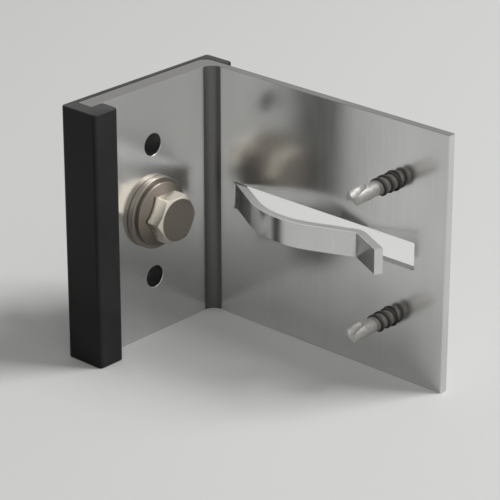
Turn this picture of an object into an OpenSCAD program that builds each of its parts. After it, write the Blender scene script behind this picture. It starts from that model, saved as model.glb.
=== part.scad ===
// Cladding bracket: an L-shaped aluminium bracket with a spring clip lanced out of its web,
// seated in a plastic isolator pad, with its anchor bolt and the two screws in its web.
// X runs along the flange, +Y along the anchor bolt from its head and +Z up, in millimetres.
// The origin is on the back of the pad, on the axis of the anchor bolt.

/* [Bracket] */
// Height of the L section
bracket_h = 75; // [60:1:150]
// Width of the flange, out to the far face of the web
flange_w = 50; // [46:1:60]
// Thickness of the flange
flange_t = 5; // [3.5:0.5:6]
// Thickness of the web and of the clip
web_t = 2.5; // [2:0.1:3]
// Reach from the back of the flange to the free end of the web
reach = 90; // [86:1:150]
// Radius inside the bend
bend_r = 3.5; // [1:0.5:6]
// Radius outside the bend
heel_r = 3; // [2:0.5:4.5]
// Radius on the free edges of the flange and the web
edge_r = 0.4; // [0.2:0.1:0.8]

/* [Fixing holes] */
// Distance from the free edge of the flange to the anchor axis
anchor_edge = 23.5; // [21:0.5:28]
// Diameter of the anchor hole
anchor_hole_d = 9; // [8.5:0.5:11]
// Diameter of the two small fixing holes
fixing_hole_d = 6.5; // [4:0.5:7]
// Distance between the two small fixing holes
fixing_pitch = 40; // [34:1:52]

/* [Spring clip] */
// Width of the clip along Z
clip_w = 7.6; // [5:0.1:12]
// Distance from the face of the flange to the root of the clip
clip_root = 8.4; // [6:0.1:10]
// Clear height of the clip's crown over the web
clip_crown = 8.5; // [7.5:0.1:10]
// Gap between the clip and the web at the pressing point
rail_gap = 2; // [1:0.1:3]
// Angle at which the clip rises from the web
rise_a = 31; // [28:1:40]
// Angle at which the clip comes back towards the web
press_a = 21; // [18:1:28]
// Angle at which the clip's tip flares out
flare_a = 27; // [15:1:45]
// Length of the flared tip
flare_len = 11; // [5:0.5:13]
// Middle radius of the bend at the clip's root
root_r = 4; // [2.5:0.5:5]
// Middle radius of the clip's crown
crown_r = 26; // [18:1:30]
// Middle radius of the bend at the pressing point
press_r = 4; // [2.5:0.5:6]
// Width of the cut round the clip
lance_gap = 0.2; // [0.1:0.1:1]

/* [Isolator pad] */
// Thickness of the pad's back plate
pad_t = 2; // [1:0.5:5]
// Thickness of the hook beside the flange's free edge
pad_side_t = 4.5; // [2:0.5:6]
// Thickness of the hook's lip in front of the flange
lip_t = 6; // [3:0.5:8]
// Width of the lip over the face of the flange
lip_reach = 4.5; // [2:0.5:6]
// Thickness of the return beside the web
return_t = 3; // [2:0.5:5]
// Reach of the return from the back of the pad
return_reach = 10; // [8.5:0.5:20]
// Radius on the outer edges of the pad
pad_edge_r = 1.2; // [0.3:0.1:1.4]
// How much smaller the pad's inner radius is than the bend's outer radius
heel_ease = 0.5; // [0.1:0.1:1]

/* [Anchor bolt and washer] */
// Diameter of the bolt's shank
bolt_d = 8; // [6:0.5:8]
// Length of the bolt under its head
bolt_len = 30; // [25:1:50]
// How much smaller the thread is than the shank, across
thread_allowance = 0.4; // [0.1:0.1:0.8]
// Hexagon size across its flats
hex_af = 13; // [10:0.5:14]
// Height of the bolt's head with its flange
head_h = 7.6; // [6:0.1:9]
// Diameter of the flange under the head
head_flange_d = 18.5; // [16:0.1:20]
// Thickness of that flange at its rim
head_rim_t = 1.2; // [0.8:0.1:2]
// Rise of that flange from its rim to the hexagon
head_cone_h = 1.3; // [0.5:0.1:2]
// Chamfer at the end of the thread
thread_chamfer = 1; // [0.5:0.1:1.5]
// Diameter of the washer
washer_d = 21; // [20:0.5:25]
// Thickness of the washer
washer_t = 2; // [1:0.1:3]
// Diameter of the hole in the washer
washer_hole_d = 8.4; // [8.2:0.1:9]

/* [Screws in the web] */
// Diameter of the screws over the thread
screw_d = 5.5; // [5:0.1:6.3]
// Length of the screws under the head
screw_len = 20; // [19:1:32]
// Distance between the two screws
screw_pitch = 40; // [30:1:52]
// Distance from the screws to the free end of the web
screw_edge = 18.5; // [10:0.5:22]
// Clearance round the screws in the web
screw_clear = 0.2; // [0.1:0.1:0.6]
// Diameter of the plain neck between the thread and the drill point
neck_d = 4.1; // [3:0.1:4.4]
// Length of that neck
neck_len = 2.6; // [1:0.1:4]
// Diameter of the drill point
drill_d = 4.5; // [4:0.1:5]
// Length of the drill point with its tip
drill_len = 7; // [5:0.5:9]
// Length of the tip's cone
drill_tip_len = 0.8; // [0.5:0.1:2.5]
// Hexagon size across its flats
screw_hex_af = 8; // [7:0.5:10]
// Height of the screw's head with its washer face
screw_head_h = 5.2; // [4:0.1:6]
// Diameter of the washer face under the screw's head
screw_rim_d = 11; // [10:0.1:14]
// Thickness of that washer face
screw_rim_t = 1.1; // [0.8:0.1:1.6]
// Rise of that washer face from its rim to the hexagon
screw_cone_h = 0.5; // [0.2:0.1:1]

/* [Hexagon heads] */
// Share of the size across the flats that the chamfer leaves as a flat top
hex_top_share = 0.93; // [0.7:0.01:0.98]
// Slope of the chamfer on the hexagon's top
hex_chamfer_a = 30; // [15:1:45]

/* [Hidden] */
$fn = 96;

// How far a cut runs past the face that it opens
over = 1;
// Length of the clip that lies in the web, before its root
clip_lead = 1;
// Largest angle of one flat in the clip's bends
bend_step_a = 3;
// Distance of the clip's middle line from the web's, at the crown and at the pressing point
crown_mid = clip_crown + web_t;
press_mid = rail_gap + web_t;

// Places along the flange
flange_x = -anchor_edge;
web_far_x = flange_x + flange_w;
web_near_x = web_far_x - web_t;
web_mid_x = web_far_x - web_t / 2;
pad_x = flange_x - pad_side_t;
pad_far_x = web_far_x + return_t;
lip_far_x = flange_x + lip_reach;

// Places along the anchor bolt and the web
flange_back_y = -pad_t;
flange_face_y = flange_back_y - flange_t;
lip_face_y = flange_face_y - lip_t;
web_end_y = flange_back_y - reach;
clip_root_y = flange_face_y - clip_root;
screw_y = web_end_y + screw_edge;

// Straight lengths of the clip, between its bends
rise_len = (crown_mid - (root_r + crown_r) * (1 - cos(rise_a))) / sin(rise_a);
press_len = (crown_mid - press_mid - (crown_r + press_r) * (1 - cos(press_a))) / sin(press_a);

// Length of the flat blank that the clip is bent from, which is the length of its window
function arc_len(radius, angle) = PI * radius * angle / 180;
clip_len = arc_len(root_r, rise_a) + rise_len + arc_len(crown_r, rise_a + press_a) + press_len
    + arc_len(press_r, press_a + flare_a) + flare_len;

// Stack under the bolt's head, from the back of the pad
bolt_seat = pad_t + flange_t + washer_t;
thread_len = bolt_len - bolt_seat;
thread_d = bolt_d - thread_allowance;

// Corner radius of a hexagon from its size across the flats
function hex_r(across_flats) = across_flats / sqrt(3);

// The sliver between a square corner and the arc that rounds it, in the quadrant of +X and +Y
module corner(radius) {
    difference() {
        square(radius);
        translate([radius, radius]) circle(radius);
    }
}

// A section in the plane of X and Y, drawn up along Z round mid height
module along_height(height) {
    linear_extrude(height, center = true) children();
}

// Turns a shape that stands on Z so that it points along -Y, from the pad to the bolt's head
module out_of_wall() {
    rotate([90, 0, 0]) children();
}

// A pose on the clip's middle line is [across, out, heading], from the root, with the heading in degrees
// from straight along the web. These give the pose at the end of a straight run or of a bend.
function run_on(pose, len) = [pose[0] + len * sin(pose[2]), pose[1] + len * cos(pose[2]), pose[2]];
function bend_on(pose, radius, angle) = let (turn = sign(angle) * radius, end_a = pose[2] + angle) [
    pose[0] + turn * (cos(pose[2]) - cos(end_a)),
    pose[1] + turn * (sin(end_a) - sin(pose[2])),
    end_a
];
function bend_poses(pose, radius, angle) = let (steps = ceil(abs(angle) / bend_step_a)) [
    for (i = [0:steps]) bend_on(pose, radius, angle * i / steps)
];
function side_point(pose, offset) = [pose[0] + offset * cos(pose[2]), pose[1] - offset * sin(pose[2])];

// Side view of the clip: it leaves the web, arches over, comes back towards it and flares out
module clip_section() {
    root = [0, 0, 0];
    crown = run_on(bend_on(root, root_r, rise_a), rise_len);
    press = run_on(bend_on(crown, crown_r, -rise_a - press_a), press_len);
    tip = run_on(bend_on(press, press_r, press_a + flare_a), flare_len);
    poses = concat(
        [run_on(root, -clip_lead)],
        bend_poses(root, root_r, rise_a),
        bend_poses(crown, crown_r, -rise_a - press_a),
        bend_poses(press, press_r, press_a + flare_a),
        [tip]
    );
    near_side = [for (pose = poses) side_point(pose, web_t / 2)];
    far_side = [for (i = [len(poses) - 1:-1:0]) side_point(poses[i], -web_t / 2)];
    translate([web_mid_x, clip_root_y]) rotate(180) polygon(concat(near_side, far_side));
}

// The L section of the bracket, seen along Z
module bracket_section() {
    difference() {
        union() {
            translate([flange_x, flange_face_y]) square([flange_w, flange_t]);
            translate([web_near_x, web_end_y]) square([web_t, reach]);
            translate([web_near_x, flange_face_y]) rotate(180) corner(bend_r);
        }
        translate([web_far_x, flange_back_y]) rotate(180) corner(heel_r);
        translate([flange_x, flange_back_y]) rotate(-90) corner(edge_r);
        translate([flange_x, flange_face_y]) corner(edge_r);
        translate([web_near_x, web_end_y]) corner(edge_r);
        translate([web_far_x, web_end_y]) rotate(90) corner(edge_r);
    }
}

// The opening that the clip leaves in the web
module clip_window() {
    window_h = clip_w + 2 * lance_gap;
    translate([web_near_x - over, clip_root_y - clip_len - lance_gap, -window_h / 2])
        cube([web_t + 2 * over, clip_len + lance_gap, window_h]);
}

// The anchor hole, through the flange and the pad
module anchor_hole() {
    out_of_wall() translate([0, 0, -over]) cylinder(h = pad_t + flange_t + 2 * over, d = anchor_hole_d);
}

// The two small holes through the flange, which the pad closes at the back
module fixing_holes() {
    for (side = [-1, 1]) {
        out_of_wall() translate([0, side * fixing_pitch / 2, pad_t - over])
            cylinder(h = flange_t + 2 * over, d = fixing_hole_d);
    }
}

// Puts a copy of a screw, which points along -X from the web's far face, at each of the two places
module at_screws() {
    for (side = [-1, 1]) {
        translate([web_far_x, screw_y, side * screw_pitch / 2]) rotate([0, -90, 0]) children();
    }
}

module bracket() {
    color("silver") difference() {
        union() {
            difference() {
                along_height(bracket_h) bracket_section();
                clip_window();
            }
            along_height(clip_w) clip_section();
        }
        anchor_hole();
        fixing_holes();
        at_screws() translate([0, 0, -over]) cylinder(h = web_t + 2 * over, d = screw_d + screw_clear);
    }
}

// The pad's section: back plate, hook with its lip, and return round the bend
module pad_section() {
    difference() {
        union() {
            translate([pad_x, flange_back_y]) square([pad_far_x - pad_x, pad_t]);
            translate([pad_x, lip_face_y]) square([pad_side_t, -lip_face_y]);
            translate([pad_x, lip_face_y]) square([lip_far_x - pad_x, lip_t]);
            translate([web_far_x, -return_reach]) square([return_t, return_reach]);
            translate([web_far_x, flange_back_y]) rotate(180) corner(heel_r - heel_ease);
        }
        translate([pad_x, 0]) rotate(-90) corner(pad_edge_r);
        translate([pad_x, lip_face_y]) corner(pad_edge_r);
        translate([lip_far_x, lip_face_y]) rotate(90) corner(pad_edge_r);
        translate([pad_far_x, 0]) rotate(180) corner(pad_edge_r);
        translate([pad_far_x, -return_reach]) rotate(90) corner(pad_edge_r);
    }
}

module isolator_pad() {
    color([0.06, 0.06, 0.06]) difference() {
        along_height(bracket_h) pad_section();
        anchor_hole();
    }
}

module anchor_washer() {
    color([0.66, 0.62, 0.55]) out_of_wall() translate([0, 0, pad_t + flange_t]) difference() {
        cylinder(h = washer_t, d = washer_d);
        translate([0, 0, -over]) cylinder(h = washer_t + 2 * over, d = washer_hole_d);
    }
}

// Hexagon head on a round rim, standing on Z = 0, with its top edges chamfered
module hex_head(across_flats, height, rim_d, rim_t, cone_h) {
    flat_top_r = across_flats / 2 * hex_top_share;
    chamfer_foot_r = flat_top_r + height / tan(hex_chamfer_a);
    cylinder(h = rim_t, d = rim_d);
    translate([0, 0, rim_t]) cylinder(h = cone_h, d1 = rim_d, d2 = across_flats);
    intersection() {
        cylinder(h = height, r = hex_r(across_flats), $fn = 6);
        cylinder(h = height, r1 = chamfer_foot_r, r2 = flat_top_r);
    }
}

module anchor_bolt() {
    color([0.72, 0.68, 0.60]) out_of_wall() {
        translate([0, 0, bolt_seat]) hex_head(hex_af, head_h, head_flange_d, head_rim_t, head_cone_h);
        cylinder(h = bolt_seat, d = bolt_d);
        translate([0, 0, thread_chamfer - thread_len])
            cylinder(h = thread_len - thread_chamfer, d = thread_d);
        translate([0, 0, -thread_len])
            cylinder(h = thread_chamfer, d1 = thread_d - 2 * thread_chamfer, d2 = thread_d);
    }
}

// One screw: head on Z = 0 downwards, thread, neck and drill point upwards
module rail_screw() {
    drill_z = screw_len - drill_len;
    thread_end = drill_z - neck_len;
    mirror([0, 0, 1]) hex_head(screw_hex_af, screw_head_h, screw_rim_d, screw_rim_t, screw_cone_h);
    cylinder(h = thread_end, d = screw_d);
    translate([0, 0, thread_end]) cylinder(h = neck_len, d = neck_d);
    translate([0, 0, drill_z]) cylinder(h = drill_len - drill_tip_len, d = drill_d);
    translate([0, 0, screw_len - drill_tip_len]) cylinder(h = drill_tip_len, d1 = drill_d, d2 = 0);
}

module rail_screws() {
    color([0.62, 0.61, 0.59]) at_screws() rail_screw();
}

bracket();
isolator_pad();
anchor_washer();
anchor_bolt();
rail_screws();
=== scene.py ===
"""Looks of the cladding bracket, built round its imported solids.

The bracket, its isolator pad, its anchor bolt and washer and the two screws in its web are each made as a
fine mesh with rounded edges, real threads and a finish of its own, in the place of the solid that it stands
for. Lengths are in metres, and the axes are the part's own: X along the flange, +Y along the anchor bolt
from its head and +Z up.
"""

import logging
import math
from collections.abc import Sequence
from dataclasses import dataclass
from enum import Enum
from typing import Any

import bmesh
import bpy
from mathutils import Matrix, Vector


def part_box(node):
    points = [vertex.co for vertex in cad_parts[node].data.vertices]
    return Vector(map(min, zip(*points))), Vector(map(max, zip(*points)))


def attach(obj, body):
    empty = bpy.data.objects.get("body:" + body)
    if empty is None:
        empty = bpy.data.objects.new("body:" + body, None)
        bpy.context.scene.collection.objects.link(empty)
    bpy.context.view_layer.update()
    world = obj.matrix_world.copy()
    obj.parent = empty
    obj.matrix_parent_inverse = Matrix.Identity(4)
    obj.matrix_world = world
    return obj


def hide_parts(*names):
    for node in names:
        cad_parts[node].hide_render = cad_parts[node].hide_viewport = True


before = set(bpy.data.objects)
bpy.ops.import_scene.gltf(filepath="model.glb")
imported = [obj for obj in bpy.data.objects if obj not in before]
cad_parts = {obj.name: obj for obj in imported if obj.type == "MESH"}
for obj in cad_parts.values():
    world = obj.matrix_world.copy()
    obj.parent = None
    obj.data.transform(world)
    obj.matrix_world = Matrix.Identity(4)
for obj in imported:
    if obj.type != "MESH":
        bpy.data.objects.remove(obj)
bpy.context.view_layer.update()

LOG = logging.getLogger("cladding_bracket")
MM = 0.001
BODY = "root"
RIGHT_ANGLE = math.radians(90)
IN_PLACE = Matrix.Identity(4)
OUT_OF_FLANGE = Matrix.Rotation(RIGHT_ANGLE, 4, "X")
THROUGH_WEB = Matrix.Rotation(RIGHT_ANGLE, 4, "Y")
ROUND_STEPS = 4
HEX_STEPS = 5
CORNER_STEPS = 8
BEND_STEPS = 12
HELIX_STEPS = 40
CIRCLE_STEPS = 96
SHARP_ANGLE = math.radians(38)
MITRE_LIMIT = 0.2
POLE_GAP = 0.0001 * MM
MERGE_GAP = 0.002 * MM
RIM_SINK = 0.02 * MM
CUT_PAST = 1 * MM
THREAD_END = 0.05
NOISE_MIDDLE = (0.3, 0.7)

Pair = tuple[float, float]
Triple = tuple[float, float, float]
Colour = Triple
Socket = bpy.types.NodeSocket


class Join(Enum):
    """Ways in which one closed mesh is combined with another."""

    ADD = "UNION"
    CUT = "DIFFERENCE"
    KEEP_SHARED = "INTERSECT"


class Slot(Enum):
    """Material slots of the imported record."""

    BRACKET = "bracket_aluminium"
    ISOLATOR = "isolator_plastic"
    ANCHOR = "anchor_steel"
    SCREW = "screw_steel"


@dataclass(frozen=True)
class Corner:
    """A corner of an outline, with the radius that rounds it."""

    x: float
    y: float
    radius: float = 0.0


@dataclass(frozen=True)
class Level:
    """A ring of a loft: its height, and how far it stands outside the outline."""

    height: float
    outside: float


def rounded_outline(corners: Sequence[Corner], steps: int = CORNER_STEPS) -> list[Vector]:
    """Gives the points of a closed outline whose corners are arcs.

    Args:
        corners: The sharp corners, anticlockwise.
        steps: Flats on each arc.

    Returns:
        The outline's points, anticlockwise.
    """
    points: list[Vector] = []
    for i, corner in enumerate(corners):
        here = Vector((corner.x, corner.y))
        if corner.radius <= 0:
            points.append(here)
            continue
        last, following = corners[i - 1], corners[(i + 1) % len(corners)]
        back = (Vector((last.x, last.y)) - here).normalized()
        on = (Vector((following.x, following.y)) - here).normalized()
        half = back.angle(on) / 2
        centre = here + (back + on).normalized() * (corner.radius / math.sin(half))
        start = here + back * (corner.radius / math.tan(half)) - centre
        sweep = (math.pi - 2 * half) * math.copysign(1, back.cross(on) * -1)
        for k in range(steps + 1):
            turn = Matrix.Rotation(sweep * k / steps, 2)
            points.append(centre + turn @ start)
    return points


def circle_outline(radius: float) -> list[Vector]:
    """Gives the points of a circle, anticlockwise."""
    turns = [2 * math.pi * i / CIRCLE_STEPS for i in range(CIRCLE_STEPS)]
    return [Vector((radius * math.cos(a), radius * math.sin(a))) for a in turns]


def arc(centre: Pair, radius: float, start: float, end: float, steps: int = ROUND_STEPS) -> list[Pair]:
    """Gives points along an arc.

    Args:
        centre: Its centre.
        radius: Its radius.
        start: Angle of its first point, anticlockwise from the first axis.
        end: Angle of its last point.
        steps: Flats along it.

    Returns:
        The points, with both ends.
    """
    angles = [start + (end - start) * k / steps for k in range(steps + 1)]
    return [(centre[0] + radius * math.cos(a), centre[1] + radius * math.sin(a)) for a in angles]


def offset_outline(points: Sequence[Vector], outside: float) -> list[Vector]:
    """Moves an anticlockwise outline outwards, with mitred corners.

    Args:
        points: The outline.
        outside: How far it moves, negative for inwards.

    Returns:
        The moved points, as many as there were.
    """
    moved: list[Vector] = []
    for i, point in enumerate(points):
        before = (point - points[i - 1]).normalized()
        after = (points[(i + 1) % len(points)] - point).normalized()
        normal_before = Vector((before.y, -before.x))
        normal_after = Vector((after.y, -after.x))
        middle = (normal_before + normal_after).normalized()
        moved.append(point + middle * (outside / max(middle.dot(normal_after), MITRE_LIMIT)))
    return moved


def both_ends(top: Sequence[Level], low: float, high: float) -> list[Level]:
    """Gives the levels of the end at high, after their mirror image for the end at low."""
    return [Level(low + high - level.height, level.outside) for level in reversed(top)] + list(top)


def rounded_rims(low: float, high: float, edge: float) -> list[Level]:
    """Gives the levels of a solid from low to high whose two rims are rounded."""
    curve = arc((-edge, high - edge), edge, 0.0, RIGHT_ANGLE)
    return both_ends([Level(height, outside) for outside, height in curve], low, high)


def flared_rims(low: float, high: float, edge: float) -> list[Level]:
    """Gives the levels of a cutter that leaves rounded rims on the hole that it makes.

    Args:
        low: Height of the face at its lower end.
        high: Height of the face at its upper end.
        edge: Radius of the rims.

    Returns:
        The levels, from past the lower face to past the upper one.
    """
    curve = arc((edge, high - edge - RIM_SINK), edge, 2 * RIGHT_ANGLE, RIGHT_ANGLE)
    top = [Level(height, outside) for outside, height in curve]
    return both_ends([*top, Level(high + CUT_PAST, edge)], low, high)


def link_object(name: str, data: bpy.types.ID) -> bpy.types.Object:
    """Puts a mesh, a lamp or a camera into the scene.

    Args:
        name: Name of the object.
        data: What it shows.

    Returns:
        The object, at the origin.
    """
    made = bpy.data.objects.new(name, data)
    bpy.context.scene.collection.objects.link(made)
    return made


def rings_object(name: str, rings: Sequence[Sequence[Vector]], place: Matrix) -> bpy.types.Object:
    """Makes a closed mesh through rings of as many points each.

    Args:
        name: Name of the object.
        rings: The rings, from the lowest up, each anticlockwise from above. A ring of points that
            coincide is a pole.
        place: Where the finished shape goes.

    Returns:
        The object, with its place in its mesh.
    """
    shape = bmesh.new()
    rows = [[shape.verts.new(place @ point) for point in ring] for ring in rings]
    count = len(rows[0])
    for lower, upper in zip(rows, rows[1:]):
        for i in range(count):
            j = (i + 1) % count
            shape.faces.new((lower[i], lower[j], upper[j], upper[i]))
    shape.faces.new(tuple(reversed(rows[0])))
    shape.faces.new(tuple(rows[-1]))
    bmesh.ops.remove_doubles(shape, verts=shape.verts, dist=POLE_GAP)
    mesh = bpy.data.meshes.new(name)
    shape.to_mesh(mesh)
    shape.free()
    return link_object(name, mesh)


def loft(name: str, outline: Sequence[Vector], levels: Sequence[Level], place: Matrix) -> bpy.types.Object:
    """Makes a solid that follows an outline, larger or smaller at each level.

    Args:
        name: Name of the object.
        outline: The outline in the XY plane, anticlockwise.
        levels: The levels, from the lowest up.
        place: Where the finished solid goes.

    Returns:
        The solid's object.
    """
    rings = []
    for level in levels:
        points = offset_outline(outline, level.outside)
        rings.append([Vector((p.x, p.y, level.height)) for p in points])
    return rings_object(name, rings, place)


def lathe(name: str, profile: Sequence[Pair], place: Matrix) -> bpy.types.Object:
    """Makes a turned solid.

    Args:
        name: Name of the object.
        profile: Pairs of radius and height, from the lowest end up.
        place: Where the finished solid goes.

    Returns:
        The solid's object.
    """
    rings = [[Vector((p.x, p.y, z)) for p in circle_outline(r)] for r, z in profile]
    return rings_object(name, rings, place)


def settle(made: bpy.types.Object) -> None:
    """Turns an object's modifiers into its own mesh.

    Args:
        made: The object.
    """
    bpy.context.view_layer.update()
    evaluated = made.evaluated_get(bpy.context.evaluated_depsgraph_get())
    mesh = bpy.data.meshes.new_from_object(evaluated)
    mesh.name = made.name
    made.modifiers.clear()
    made.data = mesh


def combine(base: bpy.types.Object, tools: Sequence[bpy.types.Object], how: Join) -> None:
    """Adds tools to a solid, cuts them from it or keeps what they share, and removes the tools.

    Args:
        base: The solid that is changed.
        tools: The solids that change it.
        how: What is done.
    """
    for tool in tools:
        step = base.modifiers.new(how.name, "BOOLEAN")
        step.operation = how.value
        step.solver = "EXACT"
        step.object = tool
    settle(base)
    for tool in tools:
        bpy.data.objects.remove(tool)
    tidy_mesh(base.data)


def tidy_mesh(mesh: bpy.types.Mesh) -> None:
    """Merges points that coincide and takes out faces without an area.

    Args:
        mesh: The mesh that is changed.
    """
    shape = bmesh.new()
    shape.from_mesh(mesh)
    bmesh.ops.remove_doubles(shape, verts=shape.verts, dist=MERGE_GAP)
    bmesh.ops.dissolve_degenerate(shape, edges=shape.edges, dist=MERGE_GAP)
    shape.to_mesh(mesh)
    shape.free()


def shade(made: bpy.types.Object) -> None:
    """Smooths the rounded edges of a piece and keeps its flats flat.

    Args:
        made: The piece.
    """
    mesh = made.data
    mesh.polygons.foreach_set("use_smooth", [True] * len(mesh.polygons))
    mesh.set_sharp_from_angle(angle=SHARP_ANGLE)
    weights = made.modifiers.new("flats", "WEIGHTED_NORMAL")
    weights.keep_sharp = True
    settle(made)


class Nodes:
    """The nodes of a tree, with short calls to add them and join them."""

    def __init__(self, tree: bpy.types.NodeTree) -> None:
        """Takes the tree that is filled."""
        self.tree = tree

    def put(self, node: bpy.types.Node, key: Any, given: Any) -> None:
        """Sets a node's input to a value, or joins it to a socket.

        Args:
            node: The node.
            key: Name or number of its input.
            given: The value or the socket.
        """
        if isinstance(given, Socket):
            self.tree.links.new(given, node.inputs[key])
        else:
            node.inputs[key].default_value = given

    def add(self, kind: str, inputs: dict[Any, Any], **settings: Any) -> bpy.types.Node:
        """Adds a node.

        Args:
            kind: Type of the node.
            inputs: Values or sockets for its inputs, by name or number.
            **settings: The node's own settings.

        Returns:
            The node.
        """
        node = self.tree.nodes.new(kind)
        for name, setting in settings.items():
            setattr(node, name, setting)
        for key, given in inputs.items():
            self.put(node, key, given)
        return node

    def math(self, operation: str, *given: Any) -> Socket:
        """Adds a sum of values or sockets and gives its result."""
        return self.add("ShaderNodeMath", dict(enumerate(given)), operation=operation).outputs[0]

    def ramp(self, given: Socket, start: Pair, end: Pair, **settings: Any) -> Socket:
        """Maps one range of values onto another.

        Args:
            given: The value.
            start: Ends of the range that it comes from.
            end: Ends of the range that it goes to.
            **settings: The node's own settings.

        Returns:
            The mapped value.
        """
        names = ("Value", "From Min", "From Max", "To Min", "To Max")
        inputs = dict(zip(names, (given, *start, *end)))
        return self.add("ShaderNodeMapRange", inputs, **settings).outputs["Result"]


class GeometryTree(Nodes):
    """A Geometry Nodes tree with named inputs, which ends in Realize Instances and Set Material."""

    def __init__(self, name: str) -> None:
        """Starts an empty tree.

        Args:
            name: Name of the tree.
        """
        super().__init__(bpy.data.node_groups.new(name, "GeometryNodeTree"))
        for way in ("INPUT", "OUTPUT"):
            self.tree.interface.new_socket("Geometry", in_out=way, socket_type="NodeSocketGeometry")
        self.entry = self.tree.nodes.new("NodeGroupInput")
        self.exit = self.tree.nodes.new("NodeGroupOutput")
        self.keys: dict[str, str] = {}

    def value(self, name: str, kind: str = "NodeSocketFloat") -> Socket:
        """Adds a named input.

        Args:
            name: Name of the input.
            kind: Type of its socket.

        Returns:
            The socket that gives its value.
        """
        socket = self.tree.interface.new_socket(name, in_out="INPUT", socket_type=kind)
        self.keys[name] = socket.identifier
        return next(s for s in self.entry.outputs if s.identifier == socket.identifier)

    def flow(self, kind: str, inputs: dict[Any, Any], **settings: Any) -> Socket:
        """Adds a node, as add does, and gives its first output that is in use."""
        return next(s for s in self.add(kind, inputs, **settings).outputs if s.enabled)

    def end(self, geometry: Socket) -> None:
        """Closes the tree with real geometry in the piece's finish.

        Args:
            geometry: What the tree has made.
        """
        real = self.flow("GeometryNodeRealizeInstances", {"Geometry": geometry})
        finish = self.value("Finish", "NodeSocketMaterial")
        dressed = self.flow("GeometryNodeSetMaterial", {"Geometry": real, "Material": finish})
        self.put(self.exit, 0, dressed)

    def run(self, made: bpy.types.Object, values: dict[str, Any]) -> None:
        """Runs the tree on an object and keeps the result as its mesh.

        Args:
            made: The object.
            values: A value for each named input.
        """
        step = made.modifiers.new(self.tree.name, "NODES")
        step.node_group = self.tree
        for name, given in values.items():
            step[self.keys[name]] = given
        settle(made)


def bent_strip_tree() -> GeometryTree:
    """Builds the tree that draws a strip with rounded edges along the object's path.

    Returns:
        The tree.
    """
    tree = GeometryTree("bent_strip")
    path = tree.flow("GeometryNodeMeshToCurve", {"Mesh": tree.entry.outputs[0]})
    level = tree.flow("GeometryNodeSetCurveNormal", {"Curve": path}, mode="Z_UP")
    section = tree.flow(
        "GeometryNodeCurvePrimitiveQuadrilateral",
        {"Width": tree.value("Thickness"), "Height": tree.value("Width")},
    )
    eased = tree.flow(
        "GeometryNodeFilletCurve",
        {"Curve": section, "Radius": tree.value("Edge radius"), "Count": ROUND_STEPS},
        mode="POLY",
    )
    strip = tree.flow(
        "GeometryNodeCurveToMesh", {"Curve": level, "Profile Curve": eased, "Fill Caps": True}
    )
    tree.end(strip)
    return tree


def threaded_set_tree() -> GeometryTree:
    """Builds the tree that cuts a thread on a blank, which stands on Z, and sets copies of it in a row.

    Returns:
        The tree.
    """
    tree = GeometryTree("threaded_set")
    pitch, core = tree.value("Pitch"), tree.value("Core radius")
    depth, sunk = tree.value("Thread depth"), tree.value("Sunk")
    start, length = tree.value("Start"), tree.value("Length")
    helix = tree.flow(
        "GeometryNodeCurveSpiral",
        {
            "Resolution": HELIX_STEPS,
            "Rotations": tree.math("DIVIDE", length, pitch),
            "Start Radius": core,
            "End Radius": core,
            "Height": length,
            "Reverse": True,
        },
    )
    lift = tree.flow("ShaderNodeCombineXYZ", {"Z": start})
    raised = tree.flow("GeometryNodeTransform", {"Geometry": helix, "Translation": lift})
    level = tree.flow("GeometryNodeSetCurveNormal", {"Curve": raised}, mode="Z_UP")
    ridge = tree.flow(
        "GeometryNodeCurvePrimitiveQuadrilateral",
        {
            "Height": depth,
            "Bottom Width": tree.math("MULTIPLY", pitch, tree.value("Foot share")),
            "Top Width": tree.math("MULTIPLY", pitch, tree.value("Crest share")),
            "Offset": 0.0,
        },
        mode="TRAPEZOID",
    )
    half_out = tree.math("SUBTRACT", tree.math("MULTIPLY", depth, 0.5), sunk)
    section = tree.flow(
        "GeometryNodeTransform",
        {
            "Geometry": ridge,
            "Translation": tree.flow("ShaderNodeCombineXYZ", {"X": half_out}),
            "Rotation": (0.0, 0.0, -RIGHT_ANGLE),
        },
    )
    along = tree.flow("GeometryNodeSplineParameter", {})
    run_in = tree.math("DIVIDE", along, tree.value("Run-in share"))
    run_out = tree.math("DIVIDE", tree.math("SUBTRACT", 1.0, along), tree.value("Run-out share"))
    swell = tree.math("MINIMUM", tree.math("MINIMUM", run_in, run_out), 1.0)
    grown = tree.math("MAXIMUM", swell, THREAD_END)
    thread = tree.flow(
        "GeometryNodeCurveToMesh",
        {"Curve": level, "Profile Curve": section, "Scale": grown, "Fill Caps": True},
    )
    whole = tree.add("GeometryNodeMeshBoolean", {}, operation="UNION", solver="MANIFOLD")
    for part in (tree.entry.outputs[0], thread):
        tree.put(whole, "Mesh 2", part)
    row = tree.flow(
        "GeometryNodeMeshLine",
        {
            "Count": tree.value("Count", "NodeSocketInt"),
            "Start Location": tree.value("First place", "NodeSocketVector"),
            "Offset": tree.value("Step", "NodeSocketVector"),
        },
    )
    turn = tree.value("Turn", "NodeSocketRotation")
    copies = tree.flow(
        "GeometryNodeInstanceOnPoints",
        {"Points": row, "Instance": whole.outputs[0], "Rotation": turn},
    )
    tree.end(copies)
    return tree


@dataclass(frozen=True)
class Thread:
    """The form of a thread.

    The foot and the crest of its ridge are shares of its pitch, and its two ends are shares of its length.
    """

    core_r: float
    crest_r: float
    pitch: float
    foot_share: float
    crest_share: float
    run_in: float
    run_out: float = 0.04
    sunk: float = 0.1 * MM

    def sizes(self) -> dict[str, float]:
        """Gives the thread's sizes by the names of the tree's inputs.

        Returns:
            A size for each name.
        """
        return {
            "Core radius": self.core_r,
            "Thread depth": self.crest_r - self.core_r + self.sunk,
            "Sunk": self.sunk,
            "Pitch": self.pitch,
            "Foot share": self.foot_share,
            "Crest share": self.crest_share,
            "Run-in share": self.run_in,
            "Run-out share": self.run_out,
        }


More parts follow.
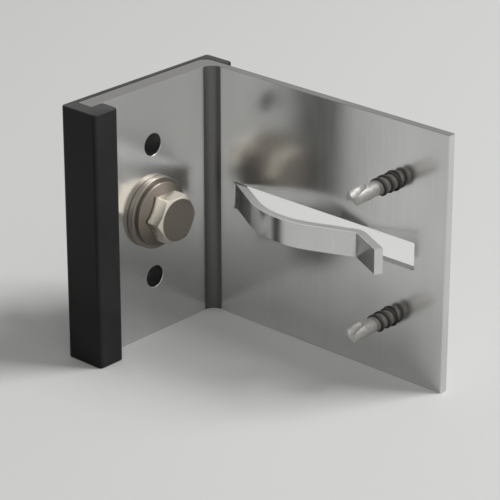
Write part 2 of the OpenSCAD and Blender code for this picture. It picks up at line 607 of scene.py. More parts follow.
class Surface(Nodes):
    """A material's nodes, with short calls for patterns, masks and relief."""

    def __init__(self, name: str) -> None:
        """Starts a material with its shader.

        Args:
            name: Name of the material.
        """
        self.material = bpy.data.materials.new(name)
        self.material.use_nodes = True
        super().__init__(self.material.node_tree)
        self.shader = self.tree.nodes["Principled BSDF"]
        place = self.tree.nodes.new("ShaderNodeTexCoord")
        self.coords, self.normal = place.outputs["Object"], place.outputs["Normal"]

    def dress(self, **inputs: Any) -> None:
        """Sets the shader's inputs, named with underscores for spaces."""
        for name, given in inputs.items():
            self.put(self.shader, name.replace("_", " "), given)

    def noise(self, size: Triple, detail: float = 3.0, turn: float = 0.0) -> Socket:
        """Adds noise with grains of a given size.

        Args:
            size: Length of a grain along X, Y and Z.
            detail: Octaves of finer noise.
            turn: Angle of the grain about Z.

        Returns:
            The noise, from 0 to 1.
        """
        scale = tuple(1 / s for s in size)
        placed = self.add(
            "ShaderNodeMapping",
            {"Vector": self.coords, "Scale": scale, "Rotation": (0.0, 0.0, turn)},
        )
        noise = self.add(
            "ShaderNodeTexNoise", {"Vector": placed.outputs[0], "Scale": 1.0, "Detail": detail}
        )
        return noise.outputs["Fac"]

    def span(self, noise: Socket, low: float, high: float) -> Socket:
        """Spreads the middle of a noise over the range from low to high."""
        return self.ramp(noise, NOISE_MIDDLE, (low, high))

    def step(self, given: Socket, low: float, high: float) -> Socket:
        """Gives 0 up to low, 1 from high on, and a smooth rise between them."""
        return self.ramp(given, (low, high), (0.0, 1.0), interpolation_type="SMOOTHSTEP")

    def mix(self, share: Any, first: Any, second: Any) -> Socket:
        """Mixes two colours.

        Args:
            share: Share of the second colour.
            first: A colour or a socket.
            second: A colour or a socket.

        Returns:
            The mixed colour.
        """
        given = [c if isinstance(c, Socket) else (*c, 1.0) for c in (first, second)]
        # The node's names repeat for each type of value, so its colours are found by number.
        mixed = self.add("ShaderNodeMix", {0: share, 6: given[0], 7: given[1]}, data_type="RGBA")
        return mixed.outputs[2]

    def split(self, vector: Socket) -> list[Socket]:
        """Gives the X, Y and Z of a vector."""
        return list(self.add("ShaderNodeSeparateXYZ", {0: vector}).outputs)

    def distance(self, first: Socket, second: Socket) -> Socket:
        """Gives the distance that two lengths at a right angle make."""
        squares = self.math("MULTIPLY_ADD", first, first, self.math("MULTIPLY", second, second))
        return self.math("SQRT", squares)

    def bump(self, height: Socket, depth: float, under: Socket | None = None) -> Socket:
        """Adds relief.

        Args:
            height: The relief, from 0 to 1.
            depth: Its depth.
            under: A normal that it is laid over, if any.

        Returns:
            The normal.
        """
        inputs = {"Height": height, "Distance": depth, "Strength": 1.0}
        if under is not None:
            inputs["Normal"] = under
        return self.add("ShaderNodeBump", inputs).outputs[0]


@dataclass(frozen=True)
class ExtrudedAluminium:
    """Bright extruded aluminium with fine draw lines and faint clouds; the bend and the cut faces are
    rougher and carry painted shade, a darker colour.
    """

    end_height: float
    bend_x: float
    bend_y: float
    bend_r: float
    pale: Colour = (0.72, 0.72, 0.71)
    deep: Colour = (0.63, 0.63, 0.625)
    # Painted shade: the rounded inside of the bend is coloured far darker than the skin.
    bend: Colour = (0.14, 0.14, 0.136)
    # Painted shade: the level cut faces are coloured darker than the skin; they are also rougher.
    sawn_shade: Colour = (0.22, 0.217, 0.21)
    smooth: float = 0.16
    dull: float = 0.25
    bend_rough: float = 0.2
    cut_rough: float = 0.45
    line_w: float = 0.35 * MM
    line_len: float = 21 * MM
    line_share: float = 0.4
    line_depth: float = 0.0012 * MM
    cloud_w: float = 14 * MM
    cloud_len: float = 28 * MM
    saw_len: float = 7 * MM
    saw_turn: float = math.radians(24)
    saw_depth: float = 0.02 * MM
    upright_slope: float = 0.1
    level_slope: float = 0.4
    cut_fade: float = 0.5 * MM
    bend_fade: float = 0.15 * MM

    def material(self) -> bpy.types.Material:
        """Builds the material.

        Returns:
            The material.
        """
        surface = Surface("extruded_aluminium")
        lines = surface.noise((self.line_w, self.line_w, self.line_len))
        clouds = surface.noise((self.cloud_w, self.cloud_w, self.cloud_len))
        saw = surface.noise((self.saw_len, self.line_w, self.line_w), turn=self.saw_turn)
        line_tone = surface.math("MULTIPLY", lines, self.line_share)
        tone = surface.math("MULTIPLY_ADD", clouds, 1 - self.line_share, line_tone)
        cut, sawn_shade = self.cut_faces(surface)
        folded = self.bend_share(surface)
        bright = surface.mix(surface.span(tone, 0.0, 1.0), self.deep, self.pale)
        # The bend and the cut faces get painted shade, a darker colour mixed over the bright skin.
        colour = surface.mix(sawn_shade, surface.mix(folded, bright, self.bend), self.sawn_shade)
        gloss = surface.span(tone, self.dull, self.smooth)
        dulled = surface.math("MULTIPLY_ADD", folded, self.bend_rough, gloss)
        dulled = surface.math("MULTIPLY_ADD", cut, self.cut_rough, dulled)
        drawn = surface.bump(lines, self.line_depth)
        relief = surface.bump(surface.math("MULTIPLY", saw, cut), self.saw_depth, drawn)
        surface.dress(Base_Color=colour, Metallic=1.0, Roughness=dulled, Normal=relief)
        return surface.material

    def cut_faces(self, surface: Surface) -> tuple[Socket, Socket]:
        """Finds the level faces that a tool has cut.

        Args:
            surface: The material's nodes.

        Returns:
            A mask of the ends and of all level faces of web and clip, and one without the clip's, which
            carries the painted shade.
        """
        along, out, height = surface.split(surface.coords)
        slope = surface.math("ABSOLUTE", surface.split(surface.normal)[2])
        level = surface.step(slope, self.upright_slope, self.level_slope)
        end_from = self.end_height - 2 * self.cut_fade
        at_ends = surface.step(surface.math("ABSOLUTE", height), end_from, end_from + self.cut_fade)
        before_bend = surface.math("SUBTRACT", self.bend_y, out)
        in_web = surface.step(before_bend, 0.0, 2 * self.cut_fade)
        past_face = surface.math("SUBTRACT", along, self.bend_x + self.bend_r)
        in_plate = surface.step(past_face, -self.line_w, self.line_w)
        punched = surface.math("MULTIPLY", in_web, in_plate)
        cut = surface.math("MULTIPLY", level, surface.math("MAXIMUM", at_ends, in_web))
        sawn_shade = surface.math("MULTIPLY", level, surface.math("MAXIMUM", at_ends, punched))
        return cut, sawn_shade

    def bend_share(self, surface: Surface) -> Socket:
        """Finds the rounded inside of the bend.

        Args:
            surface: The material's nodes.

        Returns:
            A mask that is 1 on the bend and 0 elsewhere.
        """
        along, out, _ = surface.split(surface.coords)
        right = surface.math("SUBTRACT", along, self.bend_x)
        behind = surface.math("SUBTRACT", out, self.bend_y)
        past_arc = surface.math("SUBTRACT", surface.distance(right, behind), self.bend_r)
        near = surface.math("MULTIPLY", surface.math("ABSOLUTE", past_arc), -1.0)
        on_arc = surface.step(near, -2 * self.bend_fade, -self.bend_fade)
        past_flange = surface.step(right, 0.0, self.bend_fade)
        before_web = surface.step(behind, 0.0, self.bend_fade)
        return surface.math("MULTIPLY", on_arc, surface.math("MULTIPLY", past_flange, before_web))


@dataclass(frozen=True)
class MouldedPlastic:
    """Black moulded plastic: a fine eroded grain with a low gloss, and painted light that greys the faces
    that look out along -Y.
    """

    dark: Colour = (0.002, 0.0021, 0.0022)
    worn: Colour = (0.005, 0.005, 0.0048)
    # Painted light: the faces that look out along -Y are coloured a lighter grey.
    front_light_grey: Colour = (0.022, 0.0225, 0.0225)
    most_worn: float = 0.7
    least_front_light: float = 0.7
    out_slope: float = 0.5
    smooth: float = 0.30
    dull: float = 0.46
    specular: float = 0.2
    grain: float = 0.22 * MM
    grain_detail: float = 2.0
    grain_depth: float = 0.006 * MM
    cloud: float = 9 * MM

    def material(self) -> bpy.types.Material:
        """Builds the material.

        Returns:
            The material.
        """
        surface = Surface("moulded_plastic")
        grain = surface.noise((self.grain,) * 3, self.grain_detail)
        clouds = surface.noise((self.cloud,) * 3)
        # Painted light on the faces that look out along -Y, in cloudy amounts.
        slope = surface.math("MULTIPLY", surface.split(surface.normal)[1], -1.0)
        outward = surface.step(slope, self.out_slope, 1.0)
        front_light_share = surface.math("MULTIPLY", outward, surface.span(clouds, self.least_front_light, 1.0))
        base = surface.mix(surface.span(clouds, 0.0, self.most_worn), self.dark, self.worn)
        surface.dress(
            Base_Color=surface.mix(front_light_share, base, self.front_light_grey),
            Roughness=surface.span(clouds, self.smooth, self.dull),
            Specular_IOR_Level=self.specular,
            Normal=surface.bump(grain, self.grain_depth),
        )
        return surface.material


@dataclass(frozen=True)
class PlatedSteel:
    """Warm plated steel: bright flats on the hexagon, with the face, cone, rim and washer coloured darker
    as a painted dark reflection.
    """

    seat_y: float
    rim_t: float
    cone_h: float
    head_h: float
    pale: Colour = (0.70, 0.655, 0.575)
    deep: Colour = (0.60, 0.55, 0.47)
    # Painted dark reflection: the rim and washer, the cone and the end face are coloured far darker than
    # the flats.
    rim: Colour = (0.27, 0.245, 0.215)
    cone: Colour = (0.20, 0.175, 0.15)
    face: Colour = (0.26, 0.232, 0.203)
    smooth: float = 0.22
    dull: float = 0.28
    face_rough: float = 0.06
    rim_rough: float = 0.2
    cone_fade: float = 0.2 * MM
    flats_fade: float = 0.3 * MM
    face_fade: float = 0.12 * MM
    peel: float = 1.1 * MM
    peel_detail: float = 1.0
    peel_depth: float = 0.002 * MM
    cloud: float = 4 * MM

    def material(self) -> bpy.types.Material:
        """Builds the material.

        Returns:
            The material.
        """
        surface = Surface("plated_steel")
        peel = surface.noise((self.peel,) * 3, self.peel_detail)
        clouds = surface.noise((self.cloud,) * 3)
        out = surface.math("SUBTRACT", self.seat_y, surface.split(surface.coords)[1])
        flats_from = self.rim_t + self.cone_h
        on_cone = surface.step(out, self.rim_t - self.cone_fade, self.rim_t)
        on_flats = surface.step(out, flats_from, flats_from + self.flats_fade)
        on_face = surface.step(out, self.head_h - self.face_fade, self.head_h)
        skin = surface.mix(surface.span(clouds, 0.0, 1.0), self.deep, self.pale)
        # The darker rim, cone and face colours are painted reflection, laid by height along the bolt.
        colour = surface.mix(on_cone, self.rim, self.cone)
        colour = surface.mix(on_flats, colour, skin)
        colour = surface.mix(on_face, colour, self.face)
        gloss = surface.span(clouds, self.smooth, self.dull)
        dulled = surface.math("MULTIPLY_ADD", on_face, self.face_rough, gloss)
        off_flats = surface.math("SUBTRACT", 1.0, on_flats)
        dulled = surface.math("MULTIPLY_ADD", off_flats, self.rim_rough, dulled)
        relief = surface.bump(peel, self.peel_depth)
        surface.dress(Base_Color=colour, Metallic=1.0, Roughness=dulled, Normal=relief)
        return surface.material


@dataclass(frozen=True)
class RolledSteel:
    """Plain steel of the screws: bright heads and points, and a thread painted darker as painted shade,
    darkest on its ridges, with slightly lighter crests as a painted highlight.
    """

    axis_y: float
    axis_z: float
    root: float
    crest: float
    thread_from: float
    thread_to: float
    pale: Colour = (0.44, 0.432, 0.415)
    worn: Colour = (0.30, 0.292, 0.28)
    # Painted shade and highlight on the thread: darker valleys, very dark ridges and slightly lighter
    # crests.
    valley_shade: Colour = (0.25, 0.242, 0.23)
    crest_highlight: Colour = (0.10, 0.096, 0.09)
    ridge: Colour = (0.04, 0.038, 0.035)
    most_worn: float = 0.5
    smooth: float = 0.54
    dull: float = 0.64
    ridge_foot: float = 0.05 * MM
    ridge_fade: float = 0.15 * MM
    end_fade: float = 0.2 * MM
    grain: float = 0.9 * MM
    grain_detail: float = 1.0
    grain_depth: float = 0.001 * MM

    def material(self) -> bpy.types.Material:
        """Builds the material.

        Returns:
            The material.
        """
        surface = Surface("rolled_steel")
        grain = surface.noise((self.grain,) * 3, self.grain_detail)
        along, out, height = surface.split(surface.coords)
        aside = surface.math("SUBTRACT", out, self.axis_y)
        above = surface.math("SUBTRACT", surface.math("ABSOLUTE", height), self.axis_z)
        radius = surface.distance(aside, above)
        foot = self.root + self.ridge_foot
        ridges = surface.step(radius, foot, foot + self.ridge_fade)
        crests = surface.step(radius, self.crest - self.ridge_fade, self.crest)
        # The thread's painted shade, with a painted highlight on the crests.
        thread = surface.mix(ridges, self.valley_shade, surface.mix(crests, self.ridge, self.crest_highlight))
        past_point = surface.step(along, self.thread_from - self.end_fade, self.thread_from + self.end_fade)
        head = surface.step(along, self.thread_to - self.end_fade, self.thread_to)
        threaded = surface.math("SUBTRACT", past_point, head)
        plain = surface.mix(surface.span(grain, 0.0, self.most_worn), self.pale, self.worn)
        surface.dress(
            Base_Color=surface.mix(threaded, plain, thread),
            Metallic=1.0,
            Roughness=surface.span(grain, self.smooth, self.dull),
            Normal=surface.bump(grain, self.grain_depth),
        )
        return surface.material


def hand_over(made: bpy.types.Object, finish: bpy.types.Material, node: str) -> None:
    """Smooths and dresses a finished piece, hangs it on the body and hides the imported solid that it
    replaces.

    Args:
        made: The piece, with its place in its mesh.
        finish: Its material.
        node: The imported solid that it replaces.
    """
    shade(made)
    made.data.materials.clear()
    made.data.materials.append(finish)
    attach(made, BODY)
    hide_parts(node)
    LOG.info("%s stands for %s with %d faces", made.name, node, len(made.data.polygons))


@dataclass
class FoldedBracket:
    """The folded L with its holes, and the spring clip lanced out of its web."""

    flange_t: float = 5 * MM
    web_t: float = 2.5 * MM
    bend_r: float = 3.5 * MM
    heel_r: float = 3 * MM
    edge_r: float = 0.4 * MM
    rim_r: float = 0.12 * MM
    anchor_hole_r: float = 4.5 * MM
    fixing_hole_r: float = 3.25 * MM
    fixing_pitch: float = 40 * MM
    screw_hole_r: float = 2.85 * MM
    screw_pitch: float = 40 * MM
    screw_edge: float = 18.5 * MM
    clip_w: float = 7.6 * MM
    clip_root: float = 8.4 * MM
    clip_crown: float = 8.5 * MM
    clip_gap: float = 2 * MM
    clip_edge_r: float = 0.3 * MM
    clip_lead: float = 1 * MM
    rise: float = math.radians(31)
    press: float = math.radians(21)
    flare: float = math.radians(27)
    flare_len: float = 11 * MM
    root_r: float = 4 * MM
    crown_r: float = 26 * MM
    press_r: float = 4 * MM
    lance_gap: float = 0.2 * MM

    def __post_init__(self) -> None:
        """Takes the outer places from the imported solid."""
        low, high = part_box("bracket")
        self.left, self.far = low.x, high.x
        self.end, self.back = low.y, high.y
        self.low, self.high = low.z, high.z
        self.face = self.back - self.flange_t
        self.near = self.far - self.web_t
        self.screw_y = self.end + self.screw_edge
        self.root_y = self.face - self.clip_root

    def section(self) -> list[Vector]:
        """Draws the outline of the L, seen from above.

        Returns:
            The outline's points.
        """
        corners = [
            Corner(self.left, self.back, self.edge_r),
            Corner(self.left, self.face, self.edge_r),
            Corner(self.near, self.face, self.bend_r),
            Corner(self.near, self.end, self.edge_r),
            Corner(self.far, self.end, self.edge_r),
            Corner(self.far, self.back, self.heel_r),
        ]
        return rounded_outline(corners, BEND_STEPS)

    def clip_path(self) -> tuple[list[Vector], float]:
        """Works out the clip's middle line.

        Returns:
            The points from inside the web to the tip, and the clip's length from its root.
        """
        crown_mid, press_mid = self.clip_crown + self.web_t, self.clip_gap + self.web_t
        rise_drop = (self.root_r + self.crown_r) * (1 - math.cos(self.rise))
        press_drop = (self.crown_r + self.press_r) * (1 - math.cos(self.press))
        rise_run = (crown_mid - rise_drop) / math.sin(self.rise)
        press_run = (crown_mid - press_mid - press_drop) / math.sin(self.press)
        moves = [
            (self.root_r, self.rise, rise_run),
            (self.crown_r, -self.rise - self.press, press_run),
            (self.press_r, self.press + self.flare, self.flare_len),
        ]
        across, out, heading, length = 0.0, 0.0, 0.0, 0.0
        points = [(0.0, -self.clip_lead), (0.0, 0.0)]
        for radius, turn, run in moves:
            steps = math.ceil(abs(math.degrees(turn)))
            side = math.copysign(radius, turn)
            for k in range(1, steps + 1):
                after = heading + turn * k / steps
                points.append(
                    (
                        across + side * (math.cos(heading) - math.cos(after)),
                        out + side * (math.sin(after) - math.sin(heading)),
                    )
                )
            heading += turn
            across = points[-1][0] + run * math.sin(heading)
            out = points[-1][1] + run * math.cos(heading)
            points.append((across, out))
            length += radius * abs(turn) + run
        middle = self.far - self.web_t / 2
        return [Vector((middle - x, self.root_y - y, 0.0)) for x, y in points], length

    def clip(self) -> tuple[bpy.types.Object, float]:
        """Draws the clip along its middle line.

        Returns:
            The clip and its length.
        """
        points, length = self.clip_path()
        mesh = bpy.data.meshes.new("clip")
        mesh.from_pydata(points, [(i, i + 1) for i in range(len(points) - 1)], [])
        strip = link_object("clip", mesh)
        sizes = {"Width": self.clip_w, "Thickness": self.web_t, "Edge radius": self.clip_edge_r}
        bent_strip_tree().run(strip, sizes)
        return strip, length

    def openings(self, clip_len: float) -> list[bpy.types.Object]:
        """Makes the cutters of the holes and of the clip's window.

        Args:
            clip_len: Length of the clip, and so of its window.

        Returns:
            The cutters.
        """
        in_flange = flared_rims(-self.back, -self.face, self.rim_r)
        in_web = flared_rims(self.near, self.far, self.rim_r)
        holes = [("anchor_hole", self.anchor_hole_r, 0.0)]
        holes += [("fixing_hole", self.fixing_hole_r, s * self.fixing_pitch / 2) for s in (-1, 1)]
        cutters = [
            loft(name, circle_outline(r), in_flange, Matrix.Translation((0, 0, z)) @ OUT_OF_FLANGE)
            for name, r, z in holes
        ]
        for side in (-1, 1):
            place = Matrix.Translation((0, self.screw_y, side * self.screw_pitch / 2)) @ THROUGH_WEB
            cutters.append(loft("screw_hole", circle_outline(self.screw_hole_r), in_web, place))
        half = self.clip_w / 2 + self.lance_gap
        far_end = self.root_y - clip_len - self.lance_gap
        window = [
            Corner(-half, self.root_y),
            Corner(-half, far_end, self.edge_r),
            Corner(half, far_end, self.edge_r),
            Corner(half, self.root_y),
        ]
        cutters.append(loft("window", rounded_outline(window), in_web, THROUGH_WEB))
        return cutters

    def build(self) -> None:
        """Builds the bracket and hands it over."""
        levels = rounded_rims(self.low, self.high, self.rim_r)
        made = loft("bracket_folded", self.section(), levels, IN_PLACE)
        clip, clip_len = self.clip()
        combine(made, self.openings(clip_len), Join.CUT)
        combine(made, [clip], Join.ADD)
        bend_x, bend_y = self.near - self.bend_r, self.face - self.bend_r
        finish = ExtrudedAluminium(self.high, bend_x, bend_y, self.bend_r)
        hand_over(made, finish.material(), "bracket")


@dataclass
class IsolatorPad:
    """The plastic pad under the flange, hooked round its free edge and turned up beside the web."""

    lip_reach: float = 4.5 * MM
    return_reach: float = 10 * MM
    edge_r: float = 1.2 * MM
    heel_r: float = 2.5 * MM
    inner_r: float = 0.2 * MM
    end_r: float = 0.5 * MM
    rim_r: float = 0.4 * MM

    def section(self, bracket: FoldedBracket) -> list[Vector]:
        """Draws the pad's outline, seen from above.

        Args:
            bracket: The bracket that it holds.

        Returns:
            The outline's points.
        """
        low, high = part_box("isolator_pad")
        lip_end = bracket.left + self.lip_reach
        corners = [
            Corner(low.x, high.y, self.edge_r),
            Corner(low.x, low.y, self.edge_r),
            Corner(lip_end, low.y, self.edge_r),
            Corner(lip_end, bracket.face, self.end_r),
            Corner(bracket.left, bracket.face, self.inner_r),
            Corner(bracket.left, bracket.back, self.inner_r),
            Corner(bracket.far, bracket.back, self.heel_r),
            Corner(bracket.far, -self.return_reach, self.end_r),
            Corner(high.x, -self.return_reach, self.edge_r),
            Corner(high.x, high.y, self.edge_r),
        ]
        return rounded_outline(corners)

    def build(self, bracket: FoldedBracket) -> None:
        """Builds the pad and hands it over.

        Args:
            bracket: The bracket that it holds.
        """
        low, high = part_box("isolator_pad")
        levels = rounded_rims(low.z, high.z, self.rim_r)
        made = loft("isolator_moulding", self.section(bracket), levels, IN_PLACE)
        through = flared_rims(-high.y, -bracket.back, bracket.rim_r)
        hole = loft("pad_hole", circle_outline(bracket.anchor_hole_r), through, OUT_OF_FLANGE)
        combine(made, [hole], Join.CUT)
        hand_over(made, MouldedPlastic().material(), "isolator_pad")


@dataclass
class HexHead:
    """A hexagon head on a round rim, which stands on Z = 0."""

    across_flats: float
    height: float
    rim_r: float
    rim_t: float
    cone_h: float
    corner_r: float = 0.35 * MM
    ease: float = 0.25 * MM
    crown_r: float = 0.75 * MM
    top_share: float = 0.93
    chamfer: float = math.radians(30)

    def build(self, name: str) -> bpy.types.Object:
        """Makes the head as one solid.

        Args:
            name: Name of the object.

        Returns:
            The head.
        """
        reach = self.across_flats / math.sqrt(3)
        turns = [math.radians(60 * i) for i in range(6)]
        corners = [Corner(reach * math.cos(a), reach * math.sin(a), self.corner_r) for a in turns]
        levels = [Level(self.rim_t / 2, 0.0), Level(self.height, 0.0)]
        made = loft(name, rounded_outline(corners, HEX_STEPS), levels, IN_PLACE)
        combine(made, [self.turned(reach + CUT_PAST)], Join.KEEP_SHARED)
        combine(made, [self.rim()], Join.ADD)
        return made

    def turned(self, foot_r: float) -> bpy.types.Object:
        """Makes the turned solid whose top gives the hexagon its chamfer.

        Args:
            foot_r: Radius of its foot.

        Returns:
            The solid.
        """
        top_r = self.across_flats / 2 * self.top_share
        shoulder = self.height - (foot_r - top_r) * math.tan(self.chamfer)
        centre = (top_r - self.crown_r * math.tan(self.chamfer / 2), self.height - self.crown_r)
        profile = [(0.0, 0.0), (foot_r, 0.0), (foot_r, shoulder)]
        profile += arc(centre, self.crown_r, RIGHT_ANGLE - self.chamfer, RIGHT_ANGLE)
        profile.append((0.0, self.height))
        return lathe("chamfer", profile, IN_PLACE)

    def rim(self) -> bpy.types.Object:
        """Makes the round rim under the hexagon, with a cone up to it.

        Returns:
            The rim.
        """
        top = self.rim_t + self.cone_h
        flats_r = self.across_flats / 2
        slope = math.atan2(self.cone_h, self.rim_r - flats_r)
        eased_r = self.rim_r - self.ease
        profile = [(0.0, 0.0)]
        profile += arc((eased_r, self.ease), self.ease, -RIGHT_ANGLE, 0.0)
        profile += arc((eased_r, self.rim_t - self.ease), self.ease, 0.0, RIGHT_ANGLE - slope)
        profile += [(flats_r, top), (0.0, top)]
        return lathe("rim", profile, IN_PLACE)


@dataclass
class AnchorSet:
    """The anchor bolt with its flanged head and its thread, and the washer under it."""

    shank_r: float = 4 * MM
    end_chamfer: float = 0.5 * MM
    washer_hole_r: float = 4.2 * MM
    washer_ease: float = 0.3 * MM
    head_flange_r: float = 9.25 * MM
    head_rim_t: float = 1.2 * MM
    head_cone_h: float = 1.3 * MM
    across_flats: float = 13 * MM
    thread: Thread = Thread(
        core_r=3.25 * MM,
        crest_r=3.88 * MM,
        pitch=1.25 * MM,
        foot_share=0.86,
        crest_share=0.14,
        run_in=0.06,
    )

    def washer(self, finish: bpy.types.Material) -> None:
        """Builds the washer and hands it over.

        Args:
            finish: Its material.
        """
        low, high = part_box("anchor_washer")
        levels = rounded_rims(-high.y, -low.y, self.washer_ease)
        through = flared_rims(-high.y, -low.y, self.washer_ease / 2)
        made = loft("washer_plated", circle_outline(high.x), levels, OUT_OF_FLANGE)
        hole = loft("washer_hole", circle_outline(self.washer_hole_r), through, OUT_OF_FLANGE)
        combine(made, [hole], Join.CUT)
        hand_over(made, finish, "anchor_washer")

    def bolt(self, finish: bpy.types.Material) -> None:
        """Builds the bolt and hands it over.

        Args:
            finish: Its material.
        """
        low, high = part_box("anchor_bolt")
        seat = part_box("anchor_washer")[0].y
        rim_t, core_r = self.head_rim_t, self.thread.core_r
        head = HexHead(self.across_flats, seat - low.y, self.head_flange_r, rim_t, self.head_cone_h)
        made = head.build("bolt_plated")
        end = seat - high.y
        thread_from, thread_to = end + self.end_chamfer, seat - self.thread.pitch / 2
        profile = [
            (0.0, end),
            (core_r - self.end_chamfer, end),
            (core_r, thread_from),
            (core_r, thread_to),
            (self.shank_r, seat),
            (self.shank_r, rim_t / 2),
            (0.0, rim_t / 2),
        ]
        combine(made, [lathe("shank", profile, IN_PLACE)], Join.ADD)
        placed = {
            "Start": thread_from,
            "Length": thread_to - thread_from,
            "Count": 1,
            "First place": (0.0, seat, 0.0),
            "Turn": (RIGHT_ANGLE, 0.0, 0.0),
            "Finish": finish,
        }
        threaded_set_tree().run(made, self.thread.sizes() | placed)
        hand_over(made, finish, "anchor_bolt")

    def build(self) -> None:
        """Builds the bolt and its washer in one finish."""
        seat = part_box("anchor_washer")[0].y
        head_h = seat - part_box("anchor_bolt")[0].y
        finish = PlatedSteel(seat, self.head_rim_t, self.head_cone_h, head_h).material()
        self.washer(finish)
        self.bolt(finish)


@dataclass
class WebScrews:
    """The two self-drilling screws through the web: hexagon heads, coarse threads and fluted points."""

    neck_len: float = 2.6 * MM
    drill_r: float = 2.25 * MM
    drill_len: float = 7 * MM
    drill_step: float = 0.3 * MM
    tip_len: float = 0.8 * MM
    flute_r: float = 1.6 * MM
    flute_out: float = 2.15 * MM
    flute_end: float = 1 * MM
    flute_past: float = 2 * MM
    flute_lean: float = math.radians(14)
    flute_turn: float = math.radians(20)
    across_flats: float = 8 * MM
    rim_r: float = 5.5 * MM
    rim_t: float = 1.1 * MM
    cone_h: float = 0.5 * MM
    thread: Thread = Thread(
        core_r=2.05 * MM,
        crest_r=2.75 * MM,
        pitch=2.9 * MM,
        foot_share=0.62,
        crest_share=0.18,
        run_in=0.15,
    )

    def flute(self, side: int, length: float) -> bpy.types.Object:
        """Makes the cutter of one of the two flutes in the drill point.

        Args:
            side: 0 for the first flute and 1 for the one across from it.
            length: Length of the screw under its head.

        Returns:
            The cutter.
        """
        turn = Matrix.Rotation(math.pi * side + self.flute_turn, 4, "Z")
        lean = Matrix.Rotation(self.flute_lean, 4, "X")
        place = turn @ Matrix.Translation((self.flute_out, 0, -length)) @ lean
        top = self.drill_len - self.flute_r - self.flute_end
        profile = [(0.0, -self.flute_past), (self.flute_r, -self.flute_past)]
        profile += arc((0.0, top), self.flute_r, 0.0, RIGHT_ANGLE, 2 * ROUND_STEPS)
        return lathe("flute", profile, place)

    def blank(self, head_h: float, length: float) -> bpy.types.Object:
        """Makes one screw without its thread, head up, with its seat at Z = 0.

        Args:
            head_h: Height of the head.
            length: Length under the head.

        Returns:
            The blank.
        """
        head = HexHead(self.across_flats, head_h, self.rim_r, self.rim_t, self.cone_h)
        made = head.build("screws_rolled")
        drill_top = self.drill_len - length
        profile = [
            (0.0, -length),
            (self.drill_r, self.tip_len - length),
            (self.drill_r, drill_top - self.drill_step),
            (self.thread.core_r, drill_top),
            (self.thread.core_r, self.rim_t / 2),
            (0.0, self.rim_t / 2),
        ]
        shank = lathe("shank", profile, IN_PLACE)
        combine(shank, [self.flute(side, length) for side in (0, 1)], Join.CUT)
        combine(made, [shank], Join.ADD)
        return made

    def build(self, bracket: FoldedBracket) -> None:
        """Builds both screws as one piece and hands it over.

        Args:
            bracket: The bracket that they go through.
        """
        low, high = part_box("rail_screws")
        length = bracket.far - low.x
        made = self.blank(high.x - bracket.far, length)
        half = bracket.screw_pitch / 2
        plain_len = self.drill_len + self.neck_len
        finish = RolledSteel(
            axis_y=bracket.screw_y,
            axis_z=half,
            root=self.thread.core_r,
            crest=self.thread.crest_r,
            thread_from=low.x + plain_len,
            thread_to=bracket.far,
        ).material()
        placed = {
            "Start": plain_len - length,
            "Length": length - plain_len,
            "Count": 2,
            "First place": (bracket.far, bracket.screw_y, -half),
            "Step": (0.0, 0.0, bracket.screw_pitch),
            "Turn": (0.0, RIGHT_ANGLE, 0.0),
            "Finish": finish,
        }
        threaded_set_tree().run(made, self.thread.sizes() | placed)
        hand_over(made, finish, "rail_screws")


@dataclass(frozen=True)
class Lamp:
    """A square soft lamp: where it hangs, the length of its side and its power in watts."""

    name: str
    place: Triple
    side: float
    power: float


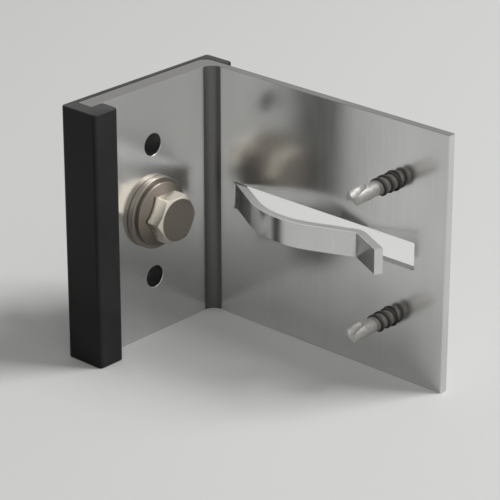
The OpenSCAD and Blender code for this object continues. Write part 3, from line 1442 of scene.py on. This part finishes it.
@dataclass
class Studio:
    """Floor, light and camera."""

    floor_side: float = 8.0
    floor_colour: Colour = (0.60, 0.60, 0.595)
    floor_rough: float = 0.9
    floor_specular: float = 0.15
    sky_colour: Colour = (0.90, 0.90, 0.89)
    sky_light: float = 0.42
    lamps: tuple[Lamp, ...] = (
        Lamp("key", (0.70, -0.70, 1.18), 0.63, 20.0),
        Lamp("front", (-0.66, -0.65, 0.40), 0.6, 1.0),
    )
    eye: Triple = (-0.4562, -0.4595, 0.2660)
    aim: Triple = (0.0055, -0.0385, -0.0045)
    lens: float = 178.0
    nearest: float = 10 * MM

    def floor(self, height: float) -> None:
        """Lays the floor under the bracket.

        Args:
            height: Level of the bracket's lower edges.
        """
        half = self.floor_side / 2
        corners = [(x * half, y * half, height) for x, y in ((-1, -1), (1, -1), (1, 1), (-1, 1))]
        mesh = bpy.data.meshes.new("floor")
        mesh.from_pydata(corners, [], [(0, 1, 2, 3)])
        made = link_object("floor", mesh)
        surface = Surface("pale_floor")
        surface.dress(
            Base_Color=(*self.floor_colour, 1.0),
            Roughness=self.floor_rough,
            Specular_IOR_Level=self.floor_specular,
        )
        mesh.materials.append(surface.material)

    def sky(self) -> None:
        """Lights the scene from all round, with a pale background for the eye and for reflections."""
        world = bpy.data.worlds.new("studio")
        bpy.context.scene.world = world
        world.use_nodes = True
        nodes = Nodes(world.node_tree)
        background = world.node_tree.nodes["Background"]
        path = nodes.add("ShaderNodeLightPath", {})
        seen = path.outputs["Is Camera Ray"]
        for kind in ("Is Glossy Ray", "Is Transmission Ray"):
            seen = nodes.math("MAXIMUM", seen, path.outputs[kind])
        nodes.put(background, "Color", (*self.sky_colour, 1.0))
        nodes.put(background, "Strength", nodes.ramp(seen, (0.0, 1.0), (self.sky_light, 1.0)))

    def hang(self, name: str, data: bpy.types.ID, place: Triple) -> bpy.types.Object:
        """Puts a lamp or the camera in its place and points it at the bracket.

        Args:
            name: Name of the object.
            data: The lamp or the camera.
            place: Where it goes.

        Returns:
            The object.
        """
        made = link_object(name, data)
        made.location = place
        made.rotation_euler = (Vector(self.aim) - Vector(place)).to_track_quat("-Z", "Y").to_euler()
        return made

    def light(self) -> None:
        """Hangs the lamps."""
        for lamp in self.lamps:
            data = bpy.data.lights.new(lamp.name, "AREA")
            data.size, data.energy = lamp.side, lamp.power
            self.hang(lamp.name, data, lamp.place)

    def camera(self) -> None:
        """Sets the camera at the viewing angle of the reference."""
        data = bpy.data.cameras.new("camera")
        data.lens, data.clip_start = self.lens, self.nearest
        bpy.context.scene.camera = self.hang("camera", data, self.eye)

    def build(self, height: float) -> None:
        """Builds the studio round the bracket.

        Args:
            height: Level of the floor.
        """
        bpy.context.scene.view_settings.view_transform = "Standard"
        self.floor(height)
        self.sky()
        self.light()
        self.camera()


def main() -> None:
    """Builds every piece and the studio."""
    logging.basicConfig(level=logging.INFO, format="%(name)s: %(message)s")
    bracket = FoldedBracket()
    bracket.build()
    IsolatorPad().build(bracket)
    AnchorSet().build()
    WebScrews().build(bracket)
    Studio().build(bracket.low)


if __name__ == "__main__":
    main()
